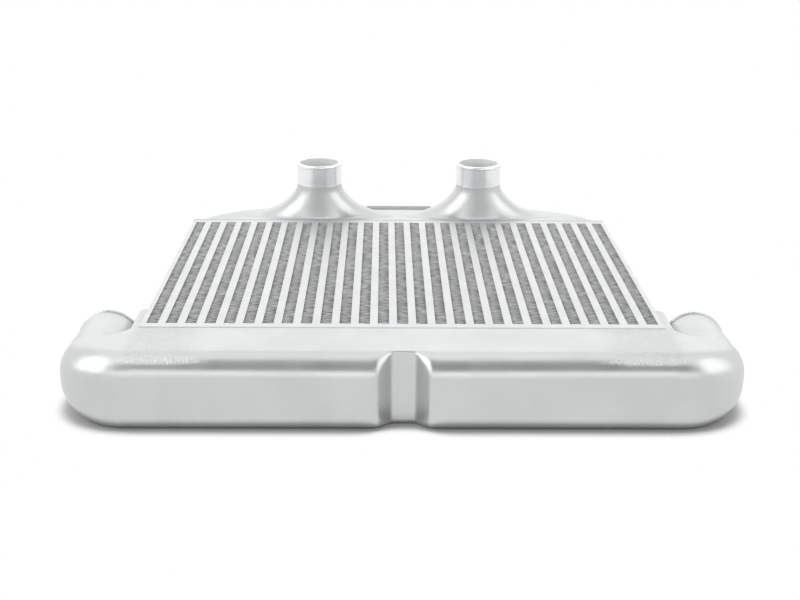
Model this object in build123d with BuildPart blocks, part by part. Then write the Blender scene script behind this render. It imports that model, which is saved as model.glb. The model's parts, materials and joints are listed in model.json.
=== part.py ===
from build123d import *
import math
import os

os.makedirs("parts", exist_ok=True)

# Core, in mm: fin rows stand side by side along X with a charge tube between each two
fin_rows = 27
fin_row_width = 11.4
fin_length = 393.0
fin_fold = 7.8
fin_sheet = 0.4
fin_setback = 0.6
tube_width = 8.1
tube_sheet = 0.6
tube_bar_height = 8.0
inner_fold = 3.0
inner_sheet = 0.3
inner_bite = 0.2
closing_bar_depth = 12.0
side_plate_thickness = 4.9
core_thickness = 76.0

# Inlet tank: a bar across the core that turns back at both ends into round stubs
bottom_tank_depth = 87.5
bottom_wall = 4.0
front_top_radius = 22.0
front_bottom_radius = 15.0
joint_edge_radius = 1.5
corner_radius = 70.0
elbow_inner_radius = 6.0
elbow_run = 10.0
elbow_steps = 8
inlet_gap = 11.5
inlet_radius = 31.75
inlet_bore_radius = 28.25
inlet_reach = 68.5
elbow_step = 0.5
elbow_flat = 0.2

# Groove down the middle of the inlet tank's front: a flat floor, sloped walls and rounded lips
groove_depth = 20.0
groove_floor_half = 7.5
groove_floor_radius = 8.0
groove_wall_degrees = 55.0
groove_lip_radius = 8.0
groove_top_radius = 2.0
groove_bottom_radius = 5.0
groove_steps = 3

# Ears of the inlet tank that lie against the core's sides
ear_thickness = 8.5
ear_length = 57.0
ear_height = 34.0
ear_corner_radius = 6.0
ear_edge_radius = 2.0

# Outlet tank: a curved back, and two upright necks that flare into its top
top_tank_depth = 75.5
top_wall = 4.0
flange_thickness = 3.0
back_corner_radius = 150.0
side_land = 3.5
top_edge_radius = 15.0
outlet_spacing = 207.0
outlet_setback = 34.0
outlet_radius = 28.5
outlet_bore_radius = 25.2
outlet_height = 68.5
outlet_band = 26.5
neck_step = 0.5
neck_wall = 3.5
neck_foot_depth = 10.0
flare_width = 75.0
flare_rise = 50.0
flare_start_degrees = 15.0
flare_steps = 6

# Rolled bead at each pipe mouth
bead_height = 1.4
bead_width = 4.0
bead_edge_radius = 1.2

# Blank name plate on a flat seat at the back of the outlet tank
plate_width = 86.0
plate_depth = 15.0
plate_thickness = 1.5
plate_corner_radius = 2.0
seat_margin = 2.0
seat_drop = 1.0
seat_root = 24.0

tube_count = fin_rows - 1
row_pitch = fin_row_width + tube_width
core_length = fin_length + 2 * closing_bar_depth
row_span = fin_rows * fin_row_width + tube_count * tube_width
core_half_width = row_span / 2 + side_plate_thickness

y_front = -(bottom_tank_depth + core_length + top_tank_depth) / 2
near_joint = y_front + bottom_tank_depth
far_joint = near_joint + core_length
y_back = far_joint + top_tank_depth
core_middle = (near_joint + far_joint) / 2

groove_turn = math.radians(groove_wall_degrees)
groove_bend = (groove_floor_radius + groove_lip_radius) * (1 - math.cos(groove_turn))
groove_wall_run = (groove_depth - groove_bend) / math.tan(groove_turn)
groove_bend_run = (groove_floor_radius + groove_lip_radius) * math.sin(groove_turn)
groove_reach = groove_floor_half + groove_bend_run + groove_wall_run

elbow_radius = inlet_radius + elbow_step
pivot_x = core_half_width + inlet_gap - elbow_inner_radius
pivot_y = near_joint + elbow_inner_radius
bar_reach = pivot_x - elbow_run
inlet_x = core_half_width + inlet_gap + elbow_radius
inlet_z = core_thickness / 2
inlet_start = pivot_y + elbow_run
inlet_end = near_joint + inlet_reach

outlet_x = outlet_spacing / 2
outlet_y = far_joint + outlet_setback
outlet_top = core_thickness + outlet_height
neck_radius = outlet_radius + neck_step
body_start = far_joint + flange_thickness
seat_depth = plate_depth + 2 * seat_margin
seat_y = y_back - (seat_margin + seat_depth) / 2
seat_z = core_thickness - seat_drop


def row_x(index):
    """Middle of fin row number index, counted from 0 at the left."""
    return (index - (fin_rows - 1) / 2) * row_pitch


def zigzag(width, length, fold, sheet):
    """Outline of a sheet folded along Y, centred on the origin, that fills a channel's width."""
    legs = max(2, round(length / fold))
    step = length / legs
    along_x = sheet * math.hypot(width, step) / step
    low_side = []
    high_side = []
    for i in range(legs + 1):
        y = i * step - length / 2
        side = 1 if i % 2 == 0 else -1
        crest = side * width / 2
        inside = crest - side * along_x
        low_side.append((min(crest, inside), y))
        high_side.append((max(crest, inside), y))
    return high_side + low_side[::-1]


def closing_bars(y_start):
    """The short bars that close every fin row at one end of the core, from y_start on."""
    with BuildPart() as bars:
        with BuildSketch():
            with Locations([(row_x(i), y_start + closing_bar_depth / 2) for i in range(fin_rows)]):
                Rectangle(fin_row_width, closing_bar_depth)
        extrude(amount=core_thickness)
    return bars.part


def inset_radii(wall):
    """Joint, front top and front bottom edge radii of the inlet tank's bar, inside a wall."""
    outside = (joint_edge_radius, front_top_radius, front_bottom_radius)
    return [max(r - wall, joint_edge_radius) for r in outside]


def tank_section(plane, inner, outer, half_height, inner_radius, top_radius, bottom_radius):
    """A rounded box on a plane whose X points away from the core and whose Y points up."""
    with BuildSketch(plane) as section:
        with BuildLine():
            FilletPolyline(
                (inner, -half_height),
                (outer, -half_height),
                (outer, half_height),
                (inner, half_height),
                radius=[inner_radius, bottom_radius, top_radius, inner_radius],
                close=True,
            )
        make_face()
    return section.sketch


def elbow_plane(side, angle, shift_x=0.0, shift_y=0.0):
    """Upright plane through the elbow's pivot, turned by an angle from the bar toward the stub."""
    origin = (side * (pivot_x + shift_x), pivot_y + shift_y, core_thickness / 2)
    outward = (side * math.sin(angle), -math.cos(angle), 0)
    normal = (-math.cos(angle), -side * math.sin(angle), 0)
    return Plane(origin, x_dir=outward, z_dir=normal)


def groove_marks(wall):
    """Where the groove's floor bend meets its wall, and where the wall meets the lip, as (x, depth)."""
    bend = groove_floor_radius + wall
    lip = groove_lip_radius - wall
    sine = math.sin(groove_turn)
    cosine = math.cos(groove_turn)
    foot = (groove_floor_half + bend * sine, groove_depth - groove_floor_radius + bend * cosine)
    edge = (groove_reach - lip * sine, groove_lip_radius - lip * cosine)
    return foot, edge


def front_depth(x, wall):
    """How far the tank's front lies behind its plane at a distance from the middle, inside a wall."""
    bend = groove_floor_radius + wall
    lip = groove_lip_radius - wall
    foot, edge = groove_marks(wall)
    if x <= groove_floor_half:
        return groove_depth + wall
    if x <= foot[0]:
        return groove_depth - groove_floor_radius + math.sqrt(bend**2 - (x - groove_floor_half) ** 2)
    if x <= edge[0]:
        return foot[1] + (edge[1] - foot[1]) * (x - foot[0]) / (edge[0] - foot[0])
    return groove_lip_radius - math.sqrt(lip**2 - max(groove_reach - x, 0) ** 2)


def bar_section(x, wall):
    """Section of the inlet tank's straight bar at x: the outside, or the inside of a wall."""
    depth = front_depth(abs(x), wall)
    share = (depth - wall) / groove_depth
    joint, top, bottom = inset_radii(wall)
    top += (max(groove_top_radius - wall, joint_edge_radius) - top) * share
    bottom += (max(groove_bottom_radius - wall, joint_edge_radius) - bottom) * share
    outer = pivot_y - y_front - depth
    half_height = core_thickness / 2 - wall
    plane = elbow_plane(1, 0, shift_x=x - pivot_x)
    return tank_section(plane, elbow_inner_radius, outer, half_height, joint, top, bottom)


def straight_bar(wall):
    """The straight bar of the inlet tank with its groove: the outside, or the inside of a wall."""
    foot, edge = groove_marks(wall)
    marks = (groove_floor_half, foot[0], edge[0], groove_reach)
    stations = [marks[0]]
    for start, end in zip(marks, marks[1:]):
        stations += [start + (end - start) * step / groove_steps for step in range(1, groove_steps + 1)]
    with BuildPart() as bar:
        extrude(bar_section(0, wall), amount=groove_floor_half, both=True)
        for side in (-1, 1):
            loft([bar_section(side * x, wall) for x in stations])
            extrude(bar_section(side * groove_reach, wall), amount=-side * (bar_reach - groove_reach))
    return bar.part


def corner_reach(angle):
    """Distance from the elbow's pivot to the outside of the bar, its rounded corner or the stub."""
    side_reach = elbow_inner_radius + 2 * elbow_radius
    front_reach = pivot_y - y_front
    centre_x = side_reach - corner_radius
    centre_y = front_reach - corner_radius
    out_x = math.sin(angle)
    out_y = math.cos(angle)
    if front_reach * out_x <= centre_x * out_y:
        return front_reach / out_y
    if side_reach * out_y <= centre_y * out_x:
        return side_reach / out_x
    along = centre_x * out_x + centre_y * out_y
    return along + math.sqrt(corner_radius**2 - centre_x**2 - centre_y**2 + along**2)


def elbow_sections(side, wall):
    """Sections from the bar round the elbow to the stub: the outside, or the inside of a wall."""
    shares = [step / elbow_steps for step in range(elbow_steps + 1)]
    turns = [(share, elbow_plane(side, math.pi / 2 * share)) for share in shares]
    turns.insert(0, (0.0, elbow_plane(side, 0, shift_x=-elbow_run)))
    turns.append((1.0, elbow_plane(side, math.pi / 2, shift_y=elbow_run)))
    inner = elbow_inner_radius + wall
    bar_half = core_thickness / 2 - wall
    stub_half = elbow_radius - wall
    sections = []
    for share, plane in turns:
        ease = share**2 * (3 - 2 * share)
        outer = corner_reach(math.pi / 2 * share) - wall
        half = bar_half + (stub_half - bar_half) * ease
        roundest = min(half, (outer - inner) / 2) - elbow_flat
        radii = [r + (roundest - r) * ease for r in inset_radii(wall)]
        sections.append(tank_section(plane, inner, outer, half, *radii))
    return sections


def ear(side):
    """The ear that stands against the core's side and roots in the tank's back wall."""
    outward = Axis((0, 0, 0), (side, 0, 0))
    middle_x = core_half_width + ear_thickness / 2
    with BuildPart() as block:
        with BuildSketch(Plane((side * middle_x, near_joint, core_thickness - ear_height))):
            with Locations((0, (ear_length - bottom_wall) / 2)):
                Rectangle(ear_thickness, ear_length + bottom_wall)
            fillet(vertices().group_by(Axis.Y)[-1].sort_by(outward)[-1], ear_corner_radius)
        extrude(amount=ear_height)
        top_edges = faces().sort_by(Axis.Z)[-1].edges()
        fillet(top_edges.filter_by(Axis.Y).sort_by(outward)[-1], ear_edge_radius)
    return block.part


def inlet_circle(side, y, radius):
    """Circle across an inlet stub at y, on a plane that faces out of its mouth."""
    with BuildSketch(Plane((side * inlet_x, y, inlet_z), x_dir=(-1, 0, 0), z_dir=(0, 1, 0))) as circle:
        Circle(radius)
    return circle.sketch


def outlet_circle(side, z, radius):
    """Level circle across an outlet at height z."""
    with BuildSketch(Plane((side * outlet_x, outlet_y, z))) as circle:
        Circle(radius)
    return circle.sketch


def neck_sections(side, wall):
    """Level ellipses of the flared neck from its foot to its top: the outside, or the inside of a wall."""
    reach = neck_radius + flare_width * math.cos(math.radians(flare_start_degrees))
    foot_back = y_back - top_edge_radius
    sections = []
    for step in range(-1, flare_steps + 1):
        share = max(step, 0) / flare_steps
        angle = math.radians(90 - (90 - flare_start_degrees) * share)
        front = body_start + (outlet_y - neck_radius - body_start) * share + wall
        back = foot_back + (outlet_y + neck_radius - foot_back) * share - wall
        z = core_thickness + flare_rise - (flare_rise + wall) * math.sin(angle)
        if step < 0:
            z -= neck_foot_depth
        with BuildSketch(Plane((side * outlet_x, (front + back) / 2, z))) as section:
            Ellipse(reach - (flare_width + wall) * math.cos(angle), (back - front) / 2)
        sections.append(section.sketch)
    return sections


def top_plan(wall, joint_y):
    """Plan of the outlet tank from joint_y to its curved back: the outside, or the inside of a wall."""
    side_x = core_half_width - wall
    back = y_back - wall
    radius = back_corner_radius - wall
    rise = y_back - body_start - side_land
    centre_x = core_half_width - math.sqrt(2 * rise * back_corner_radius - rise**2)
    centre_y = y_back - back_corner_radius
    turn = math.asin((side_x - centre_x) / radius)
    end_y = centre_y + radius * math.cos(turn)
    middle = (centre_x + radius * math.sin(turn / 2), centre_y + radius * math.cos(turn / 2))
    with BuildSketch() as plan:
        with BuildLine():
            Line((-side_x, joint_y), (side_x, joint_y))
            Line((side_x, joint_y), (side_x, end_y))
            ThreePointArc((side_x, end_y), middle, (centre_x, back))
            Line((centre_x, back), (-centre_x, back))
            ThreePointArc((-centre_x, back), (-middle[0], middle[1]), (-side_x, end_y))
            Line((-side_x, end_y), (-side_x, joint_y))
        make_face()
    return plan.sketch


def bead_edges(all_edges, pipe_radius):
    """The two outer edges of each bead, known by their radius."""
    circles = all_edges.filter_by(GeomType.CIRCLE)
    return circles.filter_by(lambda edge: abs(edge.radius - pipe_radius - bead_height) < 1e-4)


def curved_edges(all_edges):
    """The level edges along the curved sides and the back of the outlet tank, clear of the joint."""
    level = all_edges.filter_by(lambda edge: edge.bounding_box().size.Z < 1e-4)
    return level.filter_by(lambda edge: edge.center().Y > body_start + side_land)


# One corrugated fin sheet, open from the face to the back of the core
with BuildPart() as fin:
    with BuildSketch(Plane((0, core_middle, fin_setback))):
        with BuildLine():
            Polyline(*zigzag(fin_row_width, fin_length, fin_fold, fin_sheet), close=True)
        make_face()
    extrude(amount=core_thickness - 2 * fin_setback)

for i in range(fin_rows):
    with BuildPart(Location((row_x(i), 0, 0))) as row:
        add(fin.part)
    row.part.label = f"fin_row_{i + 1:02d}"
    export_step(row.part, f"parts/{row.part.label}.step")

# One flat tube of two sheets and two long bars, with a folded sheet inside, open at both ends
passage_width = tube_width - 2 * tube_sheet
passage_height = core_thickness - 2 * tube_bar_height
with BuildPart() as channel:
    with BuildSketch(Plane((0, near_joint, core_thickness / 2), x_dir=(1, 0, 0), z_dir=(0, -1, 0))):
        Rectangle(tube_width, core_thickness)
        Rectangle(passage_width, passage_height, mode=Mode.SUBTRACT)
        with BuildLine():
            folded_width = passage_width + 2 * inner_bite
            Polyline(*zigzag(folded_width, passage_height, inner_fold, inner_sheet), close=True)
        make_face()
    extrude(amount=-core_length)

for i in range(tube_count):
    with BuildPart(Location((row_x(i) + row_pitch / 2, 0, 0))) as tube:
        add(channel.part)
    tube.part.label = f"charge_tube_{i + 1:02d}"
    export_step(tube.part, f"parts/{tube.part.label}.step")

inlet_side_bars = closing_bars(near_joint)
inlet_side_bars.label = "inlet_side_bars"
export_step(inlet_side_bars, "parts/inlet_side_bars.step")

outlet_side_bars = closing_bars(far_joint - closing_bar_depth)
outlet_side_bars.label = "outlet_side_bars"
export_step(outlet_side_bars, "parts/outlet_side_bars.step")

for name, side in (("side_plate_left", -1), ("side_plate_right", 1)):
    with BuildPart() as side_plate:
        with BuildSketch(Plane((side * (row_span + side_plate_thickness) / 2, core_middle, 0))):
            Rectangle(side_plate_thickness, core_length)
        extrude(amount=core_thickness)
    side_plate.part.label = name
    export_step(side_plate.part, f"parts/{name}.step")

# Inside of the inlet tank: the bar opens to the core, and each end turns into a stub's bore
with BuildPart() as bottom_space:
    add(straight_bar(bottom_wall))
    for side in (-1, 1):
        loft(elbow_sections(side, bottom_wall))
        extrude(inlet_circle(side, inlet_start, inlet_bore_radius), amount=inlet_end - inlet_start)
    with BuildSketch(Plane((0, near_joint, bottom_wall))) as mouth:
        Rectangle(2 * (core_half_width - bottom_wall), 4 * bottom_wall)
    extrude(mouth.sketch, amount=core_thickness - 2 * bottom_wall)

with BuildPart() as bottom_tank:
    add(straight_bar(0))
    for side in (-1, 1):
        loft(elbow_sections(side, 0))
        extrude(inlet_circle(side, inlet_start, inlet_radius), amount=inlet_end - inlet_start)
        extrude(inlet_circle(side, inlet_end - bead_width, inlet_radius + bead_height), amount=bead_width)
    fillet(bead_edges(edges(), inlet_radius), bead_edge_radius)
    add(bottom_space.part, mode=Mode.SUBTRACT)
    for side in (-1, 1):
        add(ear(side))
bottom_tank.part.label = "bottom_tank"
export_step(bottom_tank.part, "parts/bottom_tank.step")

# Inside of the outlet tank: a chamber open to the core, and two bores that widen into it
with BuildPart() as top_space:
    with BuildSketch(Plane.XY.offset(top_wall)):
        add(top_plan(top_wall, far_joint - top_wall))
    extrude(amount=core_thickness - 2 * top_wall)
    fillet(curved_edges(edges()), top_edge_radius - top_wall)
    for side in (-1, 1):
        flare = neck_sections(side, neck_wall)
        loft(flare)
        bore_start = flare[-1].face().center().Z
        extrude(outlet_circle(side, bore_start, outlet_bore_radius), amount=outlet_top - bore_start)

with BuildPart() as top_tank:
    extrude(top_plan(0, body_start), amount=core_thickness)
    fillet(curved_edges(edges()), top_edge_radius)
    with BuildSketch(Plane((0, (far_joint + body_start) / 2, 0))):
        Rectangle(2 * core_half_width, flange_thickness)
    extrude(amount=core_thickness)
    for side in (-1, 1):
        loft(neck_sections(side, 0))
        extrude(outlet_circle(side, core_thickness, neck_radius), amount=outlet_height - outlet_band)
        extrude(outlet_circle(side, core_thickness, outlet_radius), amount=outlet_height)
        extrude(outlet_circle(side, outlet_top - bead_width, outlet_radius + bead_height), amount=bead_width)
    fillet(bead_edges(edges(), outlet_radius), bead_edge_radius)
    # A boss under the name plate, level with the seat, and the seat cut back into the tank's top
    with BuildSketch(Plane((0, seat_y, seat_z))) as seat:
        Rectangle(plate_width + 2 * seat_margin, seat_depth)
    extrude(seat.sketch, amount=-seat_root)
    extrude(seat.sketch, amount=seat_root, mode=Mode.SUBTRACT)
    add(top_space.part, mode=Mode.SUBTRACT)
top_tank.part.label = "top_tank"
export_step(top_tank.part, "parts/top_tank.step")

with BuildPart() as name_plate:
    with BuildSketch(Plane((0, seat_y, seat_z))):
        RectangleRounded(plate_width, plate_depth, plate_corner_radius)
    extrude(amount=plate_thickness)
name_plate.part.label = "name_plate"
export_step(name_plate.part, "parts/name_plate.step")
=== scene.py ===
import json
import math
import random

import bmesh
import bpy
from mathutils import Matrix, Vector


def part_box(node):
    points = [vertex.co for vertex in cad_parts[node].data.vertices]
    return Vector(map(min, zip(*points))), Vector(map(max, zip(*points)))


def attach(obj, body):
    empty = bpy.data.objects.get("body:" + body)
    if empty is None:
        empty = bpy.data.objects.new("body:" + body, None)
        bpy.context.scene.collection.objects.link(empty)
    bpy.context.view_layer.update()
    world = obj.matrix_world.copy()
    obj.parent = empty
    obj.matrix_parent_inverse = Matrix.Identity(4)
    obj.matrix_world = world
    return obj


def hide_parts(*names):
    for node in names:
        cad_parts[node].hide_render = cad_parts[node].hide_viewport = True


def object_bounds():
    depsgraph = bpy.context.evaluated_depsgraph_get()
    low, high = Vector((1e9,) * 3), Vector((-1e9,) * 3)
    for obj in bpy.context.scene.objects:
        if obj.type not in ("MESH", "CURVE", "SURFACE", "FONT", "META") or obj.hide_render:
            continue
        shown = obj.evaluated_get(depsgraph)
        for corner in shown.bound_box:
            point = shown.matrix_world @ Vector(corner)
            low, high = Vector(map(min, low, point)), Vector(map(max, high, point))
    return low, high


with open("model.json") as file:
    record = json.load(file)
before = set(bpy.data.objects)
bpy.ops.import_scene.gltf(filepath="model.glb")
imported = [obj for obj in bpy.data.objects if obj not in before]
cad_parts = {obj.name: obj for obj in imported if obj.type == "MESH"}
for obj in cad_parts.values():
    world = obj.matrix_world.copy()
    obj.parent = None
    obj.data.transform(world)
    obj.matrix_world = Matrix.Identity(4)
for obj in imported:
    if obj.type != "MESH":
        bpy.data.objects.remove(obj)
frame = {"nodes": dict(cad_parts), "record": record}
cad_low, cad_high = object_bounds()
nodes = frame["nodes"]
mounts = frame["record"]["mounts"]

# Camera, worked out from the straight lines of the photograph
CAMERA_PLACE = (-0.0199, -1.4995, 0.5334)
CAMERA_PITCH_DEG = 18.268
CAMERA_YAW_DEG = 0.739
CAMERA_ROLL_DEG = 0.428
CAMERA_LENS_MM = 61.65
CAMERA_SIGHT = 100

# Fin sheets: the real folds are finer than the solids' and their upper edges a little bent; painted
# highlight makes the upper edges lighter and painted sheen the ridges
FIN_FOLD = 0.00247
FIN_SHEET = 0.00028
FIN_BEND_DEPTH = 0.003
FIN_TIP_Z = (0.0738, 0.0752)
FIN_TIP_PAINTED_HIGHLIGHT = 0.55
FIN_RIDGE_PAINTED_SHEEN = 0.42
FIN_RIDGE_DRIFT = 7
FIN_FOLD_JITTER = 0.00022
FIN_TIP_JITTER = 0.00040

# Weld beads along the joints between the tanks and the core
WELD_WIDTH = 0.0034
WELD_HEIGHT = 0.0004
WELD_RIPPLE = 0.0021
WELD_STATION = 0.0005
WELD_BOW = 0.9
WELD_ARCS = 8
WELD_DRIFT_STATIONS = 8

# How much of a bead's height and width is steady, comes from its ripples, and drifts along it
WELD_HEIGHT_SHARES = (0.62, 0.38, 0.12)
WELD_WIDTH_SHARES = (0.90, 0.10, 0.08)

# Fine scratches over the rounded top edge of the inlet tank, toward its ends: where they set in and
# fade out, counted from the middle, and the heights over which they come up
SCRATCH_START = (0.17, 0.23)
SCRATCH_FADE = (0.262, 0.275)
SCRATCH_RISE = (0.066, 0.070)
SCRATCH_DEPTH = 0.0012

# Tanks: corners of the solid's mesh that lie closer than this are one, an edge that turns by more than
# this stays sharp, and a pipe's surface takes in this much room for the bead at its mouth
SAME_CORNER = 0.00001
SHARP_EDGE_DEG = 32
BEAD_ROOM = 0.002
MM_IN_METRE = 1000

# A tank's materials, by their places in its list
CAST, MACHINED, BORED = range(3)

# Finishes: the share of metal, the darkest and lightest colour, the span of roughness and how many
# of its patches lie along a metre
FINISHES = {
    "cast_aluminium": dict(metallic=0.78, dark=(0.595, 0.603, 0.606), light=(0.645, 0.653, 0.656),
                           roughness=(0.28, 0.36), patches=40),
    "machined_aluminium": dict(metallic=0.9, dark=(0.83, 0.838, 0.845), light=(0.89, 0.895, 0.90),
                               roughness=(0.20, 0.26), patches=30),
    "bore_aluminium": dict(metallic=0.15, dark=(0.88, 0.88, 0.87), light=(0.94, 0.94, 0.93),
                           roughness=(0.48, 0.60), patches=60),
    "brushed_bar": dict(metallic=0.6, dark=(0.66, 0.67, 0.68), light=(0.73, 0.74, 0.745),
                        roughness=(0.34, 0.46), patches=50),
    # The fins' dark colour is painted shade in their depth, their light colour painted highlight and sheen
    "fin_metal_painted_light": dict(metallic=0.55, dark=(0.24, 0.245, 0.25), light=(0.98, 0.98, 0.98),
                      roughness=(0.36, 0.50), patches=80),
    "weld_metal": dict(metallic=1.0, dark=(0.44, 0.45, 0.46), light=(0.62, 0.63, 0.64),
                       roughness=(0.34, 0.46), patches=200),
    "dark_plate": dict(metallic=0.0, dark=(0.32, 0.325, 0.33), light=(0.38, 0.385, 0.39),
                       roughness=(0.40, 0.50), patches=90),
}

# Most of a noise lies between these two values, from which a range starts
NOISE_SPAN = (0.3, 0.7)
WIDE_NOISE_SPAN = (0.25, 0.75)

# How fine a pattern is along x, y and z: turned rings, brushed lines, scratches, and the uneven painted
# sheen along the fin folds
TURNED_RINGS = (2, 2, 1600)
BRUSHED_LINES = (1500, 30, 1500)
SCRATCH_LINES = (1300, 260, 260)
FOLD_DRIFT = (60, 110, 60)

# Floor: its half width, its grey where it is shaded, how near the object has to be to shade it, and the
# openness over which it goes from shaded to white
FLOOR_HALF = 30
FLOOR_GREY = 0.52
FLOOR_SHADOW_REACH = 0.03
FLOOR_SHADOW_OPEN = (0.46, 0.78)

# Strength of the sky as a light
WORLD_STRENGTH = 0.75

# Lamps, which all point at the object: place, width and height, and power in watts
LAMP_TARGET = (0, 0, 0.05)
LAMPS = {
    "side_left": ((-1.60, -0.70, 1.15), (2.0, 1.9), 15),
    "side_right": ((1.65, -0.60, 1.15), (1.8, 1.9), 9),
    "front_low": ((0, -2.30, 0.45), (2.6, 0.7), 3.6),
    "behind": ((0, 2.40, 0.95), (4.2, 1.5), 7),
    "overhead": ((0, 0.6, 2.3), (3.2, 2.4), 5),
}

# Cards that the metal reflects: place, target, width and height, and grey
CARDS = {
    "card_front": ((0.1, -2.0, 2.1), (0.1, 0, 1.0), (3.2, 2.2), 0.22),
    "card_top": ((0.1, -1.5, 3.0), (0.1, -0.3, 0), (2.3, 1.6), 0.35),
}

# Directions
LEFT = Vector((-1, 0, 0))
RIGHT = Vector((1, 0, 0))
UP = Vector((0, 0, 1))


def link(obj):
    bpy.context.scene.collection.objects.link(obj)
    return obj


def mesh_object(name, points, faces):
    mesh = bpy.data.meshes.new(name)
    mesh.from_pydata(points, [], faces)
    mesh.update()
    return link(bpy.data.objects.new(name, mesh))


def rectangle(name, half_x, half_y, z):
    corners = [(-half_x, -half_y, z), (half_x, -half_y, z), (half_x, half_y, z), (-half_x, half_y, z)]
    return mesh_object(name, corners, [(0, 1, 2, 3)])


def dress(obj, material):
    """Gives an object one material."""
    obj.data.materials.clear()
    obj.data.materials.append(material)
    return obj


class Shader:
    """A node material with one Principled shader, and short ways to add nodes to it."""

    def __init__(self, name):
        self.finish = FINISHES[name]
        self.material = bpy.data.materials.new(name)
        self.material.use_nodes = True
        self.tree = self.material.node_tree
        self.shader = self.tree.nodes["Principled BSDF"]
        self.shader.inputs["Metallic"].default_value = self.finish["metallic"]
        self.place = self.node("ShaderNodeTexCoord").outputs["Object"]

    def node(self, kind, **settings):
        made = self.tree.nodes.new(kind)
        for key, value in settings.items():
            setattr(made, key, value)
        return made

    def wire(self, source, target):
        self.tree.links.new(source, target)

    def stretched(self, scale):
        """Object coordinates scaled along each axis."""
        mapping = self.node("ShaderNodeMapping")
        mapping.inputs["Scale"].default_value = scale
        self.wire(self.place, mapping.inputs["Vector"])
        return mapping.outputs["Vector"]

    def parts(self):
        """The object coordinates one by one."""
        split = self.node("ShaderNodeSeparateXYZ")
        self.wire(self.place, split.inputs[0])
        return split.outputs

    def noise(self, scale=1.0, detail=2.0, vector=None):
        made = self.node("ShaderNodeTexNoise")
        made.inputs["Scale"].default_value = scale
        made.inputs["Detail"].default_value = detail
        self.wire(vector or self.place, made.inputs["Vector"])
        return made.outputs["Fac"]

    def math(self, operation, first, second=0):
        made = self.node("ShaderNodeMath", operation=operation)
        for socket, value in zip(made.inputs, (first, second)):
            if isinstance(value, (int, float)):
                socket.default_value = value
            else:
                self.wire(value, socket)
        return made.outputs["Value"]

    def ranged(self, value, span, onto=(0, 1)):
        """Takes a value from one span smoothly onto another."""
        made = self.node("ShaderNodeMapRange", interpolation_type="SMOOTHSTEP")
        self.wire(value, made.inputs["Value"])
        for name, number in zip(("From Min", "From Max", "To Min", "To Max"), (*span, *onto)):
            made.inputs[name].default_value = number
        return made.outputs["Result"]

    def colour(self, factor):
        """Goes from the finish's dark colour to its light one by a factor."""
        made = self.node("ShaderNodeMix", data_type="RGBA")
        self.wire(factor, made.inputs["Factor"])
        made.inputs["A"].default_value = (*self.finish["dark"], 1)
        made.inputs["B"].default_value = (*self.finish["light"], 1)
        self.wire(made.outputs["Result"], self.shader.inputs["Base Color"])

    def roughen(self, detail=2.0, span=NOISE_SPAN):
        """Spreads the finish's roughness over its patches."""
        patches = self.noise(scale=self.finish["patches"], detail=detail)
        self.wire(self.ranged(patches, span, self.finish["roughness"]), self.shader.inputs["Roughness"])

    def bump(self, height, strength, distance, before=None):
        """Raises the surface by a height, on top of the bump before it."""
        made = self.node("ShaderNodeBump")
        made.inputs["Strength"].default_value = strength
        made.inputs["Distance"].default_value = distance
        self.wire(height, made.inputs["Height"])
        if before is not None:
            self.wire(before, made.inputs["Normal"])
        self.wire(made.outputs["Normal"], self.shader.inputs["Normal"])
        return made.outputs["Normal"]


def cast_aluminium():
    """Blasted casting with a fine grain, and scratches where the inlet tank's front edge is worn."""
    s = Shader("cast_aluminium")
    s.colour(s.ranged(s.noise(scale=14, detail=4), NOISE_SPAN))
    s.roughen(detail=5, span=WIDE_NOISE_SPAN)
    waves = s.bump(s.noise(scale=60, detail=3), strength=0.05, distance=0.002)
    grain = s.bump(s.noise(scale=900, detail=3), strength=0.25, distance=0.0004, before=waves)
    x, _, z = s.parts()
    across = s.math("ABSOLUTE", x)
    starts = s.ranged(across, SCRATCH_START)
    fades = s.ranged(across, SCRATCH_FADE, onto=(1, 0))
    scratched = s.math("MULTIPLY", s.math("MULTIPLY", starts, fades), s.ranged(z, SCRATCH_RISE))
    lines = s.noise(vector=s.stretched(SCRATCH_LINES))
    s.bump(s.math("MULTIPLY", scratched, lines), strength=1.0, distance=SCRATCH_DEPTH, before=grain)
    return s.material


def machined_aluminium():
    """Bright bands around the outlets, with the fine rings of a lathe."""
    s = Shader("machined_aluminium")
    rings = s.noise(detail=3, vector=s.stretched(TURNED_RINGS))
    s.colour(rings)
    s.roughen()
    s.bump(rings, strength=0.12, distance=0.0001)
    return s.material


def bore_aluminium():
    """Pale, dull inside of the pipes."""
    s = Shader("bore_aluminium")
    s.colour(s.noise(scale=120, detail=3))
    s.roughen()
    s.bump(s.noise(scale=500), strength=0.15, distance=0.0003)
    return s.material


def brushed_bar():
    """Charge tubes, closing bars and side plates, with fine lines along their length."""
    s = Shader("brushed_bar")
    lines = s.noise(detail=3, vector=s.stretched(BRUSHED_LINES))
    s.colour(lines)
    s.roughen()
    s.bump(lines, strength=0.2, distance=0.0002)
    return s.material


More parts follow.
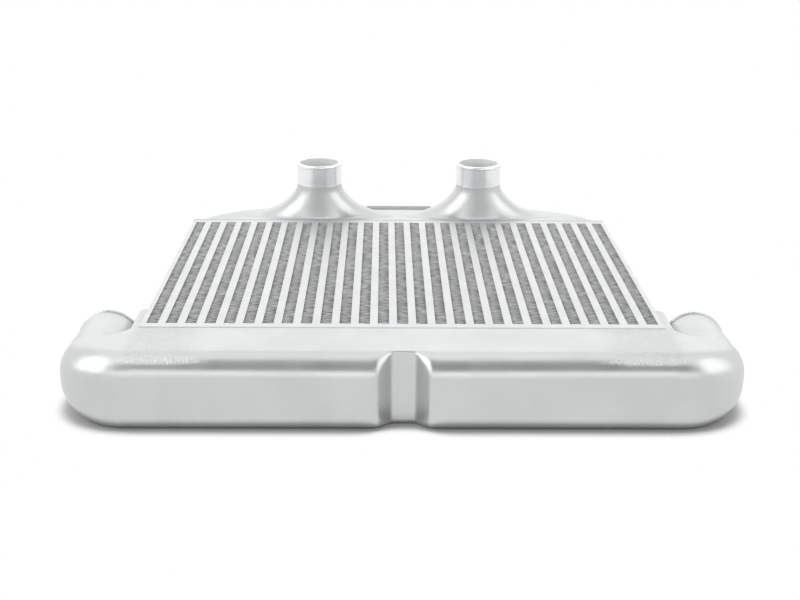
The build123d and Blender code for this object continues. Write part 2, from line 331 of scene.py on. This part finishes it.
def fin_metal_painted_light():
    """Fin sheets with painted shade that darkens their depth, painted sheen that lightens their ridges and
    painted highlight on their upper edges.
    """
    s = Shader("fin_metal_painted_light")
    _, y, z = s.parts()
    turns = s.math("MULTIPLY", y, math.pi / FIN_FOLD)
    drift = s.math("MULTIPLY", s.noise(detail=1, vector=s.stretched(FOLD_DRIFT)), FIN_RIDGE_DRIFT)
    ridges = s.math("SINE", s.math("ADD", turns, drift))
    # Painted highlight on the upper edges and painted sheen along the ridges, over a dark colour that is
    # painted shade in the depth
    tip_painted_highlight = s.ranged(z, FIN_TIP_Z, onto=(0, FIN_TIP_PAINTED_HIGHLIGHT))
    ridge_painted_sheen = s.ranged(ridges, (-1, 1), onto=(0, FIN_RIDGE_PAINTED_SHEEN))
    s.colour(s.math("ADD", tip_painted_highlight, ridge_painted_sheen))
    s.roughen()
    s.bump(s.noise(scale=900), strength=0.15, distance=0.0002)
    return s.material


def weld_metal():
    s = Shader("weld_metal")
    s.colour(s.noise(scale=400))
    s.roughen()
    s.bump(s.noise(scale=1200), strength=0.1, distance=0.0002)
    return s.material


def dark_plate():
    """Dull grey name plate, darker than the castings."""
    s = Shader("dark_plate")
    s.colour(s.noise(scale=60, detail=3))
    s.roughen()
    s.bump(s.noise(scale=800), strength=0.08, distance=0.0002)
    return s.material


def welded_copy(name, node):
    """The solid's own form as one smooth mesh, so that no line shows where two of its faces meet."""
    source = nodes[node].data
    corners = [vertex.co.copy() for vertex in source.vertices]
    piece = mesh_object(name, corners, [tuple(polygon.vertices) for polygon in source.polygons])
    shape = bmesh.new()
    shape.from_mesh(piece.data)
    bmesh.ops.remove_doubles(shape, verts=shape.verts, dist=SAME_CORNER)
    for edge in shape.edges:
        edge.smooth = edge.calc_face_angle(math.pi) < math.radians(SHARP_EDGE_DEG)
    for face in shape.faces:
        face.smooth = True
    shape.to_mesh(piece.data)
    shape.free()
    weights = piece.modifiers.new("weights", "WEIGHTED_NORMAL")
    weights.keep_sharp = True
    return piece


def pipe_surface(place):
    """Which of a tank's materials a place on it has, by the bores and pipes of the record's mounts."""
    for mount in mounts:
        if mount["kind"] not in ("bore", "other"):
            continue
        axis = Vector(mount["axis"])
        away = place - Vector(mount["pos_m"])
        along = away.dot(axis)
        radius = (away - axis * along).length
        half = mount["dims"]["length_mm"] / MM_IN_METRE / 2
        mouth = mount["dims"]["r_mm"] / MM_IN_METRE
        if mount["kind"] == "bore" and radius < mouth + SAME_CORNER and abs(along) < half + BEAD_ROOM:
            return BORED
        is_outlet = axis.z > abs(axis.y)
        if mount["kind"] == "other" and is_outlet and radius < mouth + BEAD_ROOM and along > -half:
            return MACHINED
    return CAST


def fin_points(low, high, legs, chance):
    """Corners of a folded sheet: two for each level of each fold, with slightly uneven folds and tips."""
    step = (high.y - low.y) / legs
    along_x = FIN_SHEET * math.hypot(high.x - low.x, step) / step
    levels = (low.z, high.z - FIN_BEND_DEPTH, high.z)
    points = []
    for i in range(legs + 1):
        inner = 0 < i < legs
        y = low.y + i * step + (chance.uniform(-1, 1) * FIN_FOLD_JITTER if inner else 0)
        tip = chance.uniform(-1, 1) * FIN_TIP_JITTER if inner else 0
        crest, inside = (high.x, high.x - along_x) if i % 2 == 0 else (low.x, low.x + along_x)
        for z in levels:
            shift = tip if z == high.z else 0
            points.append((min(crest, inside), y + shift, z))
            points.append((max(crest, inside), y + shift, z))
    return points, len(levels)


def fin_faces(legs, levels):
    """Faces between the corners of a folded sheet: both sides, the lower and upper edge, and the ends."""
    ring = 2 * levels
    top = ring - 2
    faces = []
    for i in range(legs):
        a, b = i * ring, (i + 1) * ring
        for k in range(0, top, 2):
            faces.append((a + k, b + k, b + k + 2, a + k + 2))
            faces.append((a + k + 1, a + k + 3, b + k + 3, b + k + 1))
        faces.append((a, a + 1, b + 1, b))
        faces.append((a + top, b + top, b + top + 1, a + top + 1))
    for end, flip in ((0, False), (legs * ring, True)):
        for k in range(end, end + top, 2):
            face = (k, k + 2, k + 3, k + 1)
            faces.append(face[::-1] if flip else face)
    return faces


def fin_sheet(name, node, chance):
    """One corrugated sheet in the box of its fin row, with the real fold."""
    low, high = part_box(node)
    legs = round((high.y - low.y) / FIN_FOLD)
    points, levels = fin_points(low, high, legs, chance)
    return mesh_object(name, points, fin_faces(legs, levels))


def swell(shares, ripple, drift):
    """Adds what a ripple and the slow drift give to the steady share."""
    steady, rippling, drifting = shares
    return steady + rippling * math.sin(math.pi * ripple) + drifting * drift


def weld_points(start, along, length, up, stations, chance):
    """Corners of a bead: one arc for each station, bent forward like the ripples of a weld."""
    across = along.cross(up)
    wave = [chance.uniform(-1, 1) for _ in range(stations // WELD_DRIFT_STATIONS + 3)]
    points = []
    for i in range(stations + 1):
        travel = length * i / stations
        ripple = (travel / WELD_RIPPLE) % 1.0
        slot, part = divmod(i / WELD_DRIFT_STATIONS, 1)
        drift = wave[int(slot)] * (1 - part) + wave[int(slot) + 1] * part
        height = WELD_HEIGHT * swell(WELD_HEIGHT_SHARES, ripple, drift)
        half = WELD_WIDTH / 2 * swell(WELD_WIDTH_SHARES, ripple, drift)
        for k in range(WELD_ARCS + 1):
            angle = math.pi * k / WELD_ARCS
            bow = WELD_RIPPLE * WELD_BOW * math.sin(angle)
            place = start + along * min(max(travel + bow - WELD_RIPPLE, 0), length)
            points.append(place + across * half * math.cos(angle) + up * height * math.sin(angle))
    return points


def weld_faces(stations):
    """Faces between the arcs of a bead, its flat underside and its two ends."""
    ring = WELD_ARCS + 1
    faces = []
    for i in range(stations):
        a, b = i * ring, (i + 1) * ring
        for k in range(WELD_ARCS):
            faces.append((a + k, b + k, b + k + 1, a + k + 1))
        faces.append((a, a + WELD_ARCS, b + WELD_ARCS, b))
    faces.append(tuple(range(ring)))
    faces.append(tuple(range(stations * ring + WELD_ARCS, stations * ring - 1, -1)))
    return faces


def weld_bead(name, start, along, length, up, chance):
    """A rippled bead from start along a direction, standing proud of the surface by its height."""
    stations = round(length / WELD_STATION)
    points = weld_points(Vector(start), along, length, up, stations, chance)
    bead = mesh_object(name, points, weld_faces(stations))
    for polygon in bead.data.polygons:
        polygon.use_smooth = len(polygon.vertices) == 4
    return bead


def make_camera():
    """Sets up the camera at the place and turn that the photograph gives."""
    pitch, yaw, roll = (math.radians(a) for a in (CAMERA_PITCH_DEG, CAMERA_YAW_DEG, CAMERA_ROLL_DEG))
    ahead = Vector((math.sin(yaw) * math.cos(pitch), math.cos(yaw) * math.cos(pitch), -math.sin(pitch)))
    level = Vector((math.cos(yaw), -math.sin(yaw), 0))
    up = level.cross(ahead)
    right = level * math.cos(roll) + up * math.sin(roll)
    upright = up * math.cos(roll) - level * math.sin(roll)
    camera = link(bpy.data.objects.new("camera", bpy.data.cameras.new("camera")))
    camera.data.lens = CAMERA_LENS_MM
    camera.data.clip_end = CAMERA_SIGHT
    turn = Matrix((right, upright, -ahead)).transposed().to_4x4()
    camera.matrix_world = Matrix.Translation(CAMERA_PLACE) @ turn
    bpy.context.scene.camera = camera


def seen_rays(tree):
    """1 for the rays of the camera, of reflections and of transmission, and 0 for all others."""
    rays = tree.nodes.new("ShaderNodeLightPath")
    seen = rays.outputs["Is Camera Ray"]
    for name in ("Is Glossy Ray", "Is Transmission Ray"):
        either = tree.nodes.new("ShaderNodeMath")
        either.operation = "MAXIMUM"
        tree.links.new(seen, either.inputs[0])
        tree.links.new(rays.outputs[name], either.inputs[1])
        seen = either.outputs[0]
    return seen


def mixed(tree, factor, shaded, white):
    """Goes from the shaded floor or the lighting sky to plain white by a factor."""
    both = tree.nodes.new("ShaderNodeMixShader")
    tree.links.new(factor, both.inputs[0])
    tree.links.new(shaded, both.inputs[1])
    tree.links.new(white, both.inputs[2])
    return both.outputs[0]


def bare_material(obj, name):
    """Gives an object a material without a shader, and returns its tree and the socket of its surface."""
    material = bpy.data.materials.new(name)
    material.use_nodes = True
    tree = material.node_tree
    tree.nodes.remove(tree.nodes["Principled BSDF"])
    obj.data.materials.append(material)
    return tree, tree.nodes["Material Output"].inputs["Surface"]


def make_floor():
    """White floor that is shaded where the object stands close over it, and grey to rays that only light."""
    floor = rectangle("floor", FLOOR_HALF, FLOOR_HALF, cad_low.z)
    tree, surface = bare_material(floor, "floor_white")
    diffuse = tree.nodes.new("ShaderNodeBsdfDiffuse")
    diffuse.inputs["Color"].default_value = (FLOOR_GREY, FLOOR_GREY, FLOOR_GREY, 1)
    white = tree.nodes.new("ShaderNodeEmission")
    closeness = tree.nodes.new("ShaderNodeAmbientOcclusion")
    closeness.inputs["Distance"].default_value = FLOOR_SHADOW_REACH
    away = tree.nodes.new("ShaderNodeMapRange")
    away.interpolation_type = "SMOOTHSTEP"
    away.inputs["From Min"].default_value = FLOOR_SHADOW_OPEN[0]
    away.inputs["From Max"].default_value = FLOOR_SHADOW_OPEN[1]
    tree.links.new(closeness.outputs["AO"], away.inputs["Value"])
    factor = tree.nodes.new("ShaderNodeMath")
    factor.operation = "MULTIPLY"
    tree.links.new(seen_rays(tree), factor.inputs[0])
    tree.links.new(away.outputs["Result"], factor.inputs[1])
    tree.links.new(mixed(tree, factor.outputs[0], diffuse.outputs[0], white.outputs[0]), surface)


def make_world():
    """Sky that is white where it is seen or reflected, and lights the object at its own strength."""
    world = bpy.data.worlds.new("studio")
    bpy.context.scene.world = world
    world.use_nodes = True
    tree = world.node_tree
    background = tree.nodes["Background"]
    background.inputs["Color"].default_value = (1, 1, 1, 1)
    background.inputs["Strength"].default_value = WORLD_STRENGTH
    white = tree.nodes.new("ShaderNodeBackground")
    white.inputs["Color"].default_value = (1, 1, 1, 1)
    surface = mixed(tree, seen_rays(tree), background.outputs[0], white.outputs[0])
    tree.links.new(surface, tree.nodes["World Output"].inputs["Surface"])


def aim(obj, target):
    away = obj.location - Vector(target)
    obj.rotation_mode = "QUATERNION"
    obj.rotation_quaternion = away.to_track_quat("Z", "Y")


def softbox(name, place, size, power):
    lamp = bpy.data.lights.new(name, "AREA")
    lamp.shape = "RECTANGLE"
    lamp.size, lamp.size_y = size
    lamp.energy = power
    box = link(bpy.data.objects.new(name, lamp))
    box.location = place
    box.visible_camera = False
    aim(box, LAMP_TARGET)


def grey_card(name, place, target, size, grey):
    """A plain grey card of the studio that the metal reflects and the camera doesn't see."""
    card = rectangle(name, size[0] / 2, size[1] / 2, 0)
    card.location = place
    aim(card, target)
    tree, surface = bare_material(card, name)
    glow = tree.nodes.new("ShaderNodeEmission")
    glow.inputs["Color"].default_value = (grey, grey, grey, 1)
    tree.links.new(glow.outputs[0], surface)
    card.visible_camera = False


cast = cast_aluminium()
machined = machined_aluminium()
bored = bore_aluminium()
bar = brushed_bar()
painted_light_fins = fin_metal_painted_light()
weld = weld_metal()
plate = dark_plate()

# Solids, by how their names start: the material and the slot
SURFACES = {
    "charge_tube": (bar, "charge_tube"),
    "inlet_side_bars": (bar, "closing_bar"),
    "outlet_side_bars": (bar, "closing_bar"),
    "side_plate": (bar, "side_plate"),
    "fin_row": (painted_light_fins, "fin_sheet"),
    "name_plate": (plate, "name_plate"),
    "bottom_tank": (cast, "cast_tank"),
    "top_tank": (cast, "cast_tank"),
}
for name, node in nodes.items():
    for start, (material, slot) in SURFACES.items():
        if name.startswith(start):
            dress(node, material)

for name in ("bottom_tank", "top_tank"):
    tank = welded_copy(f"{name}_casting", name)
    dress(tank, cast)
    tank.data.materials.append(machined)
    tank.data.materials.append(bored)
    for polygon in tank.data.polygons:
        polygon.material_index = pipe_surface(polygon.center)
    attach(tank, "root")
    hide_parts(name)

for name in sorted(n for n in nodes if n.startswith("fin_row")):
    number = name[-2:]
    sheet = fin_sheet(f"fin_sheet_{number}", name, random.Random(int(number)))
    dress(sheet, painted_light_fins)
    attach(sheet, "root")
    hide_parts(name)

near_low, near_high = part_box("inlet_side_bars")
_, far_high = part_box("outlet_side_bars")
left_low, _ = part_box("side_plate_left")
_, right_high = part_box("side_plate_right")
width = right_high.x - left_low.x
height = near_high.z
beads = (
    ("weld_near", (left_low.x, near_low.y, height), RIGHT, width, UP),
    ("weld_far", (left_low.x, far_high.y, height), RIGHT, width, UP),
    ("weld_far_left", (left_low.x, far_high.y, 0), UP, height, LEFT),
    ("weld_far_right", (right_high.x, far_high.y, 0), UP, height, RIGHT),
)
for seed, (name, start, along, length, up) in enumerate(beads):
    bead = weld_bead(name, start, along, length, up, random.Random(seed))
    dress(bead, weld)
    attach(bead, "root")

make_camera()
make_floor()
make_world()
for name, (place, size, power) in LAMPS.items():
    softbox(name, place, size, power)
for name, (place, target, size, grey) in CARDS.items():
    grey_card(name, place, target, size, grey)

bpy.context.scene.view_settings.view_transform = "Standard"
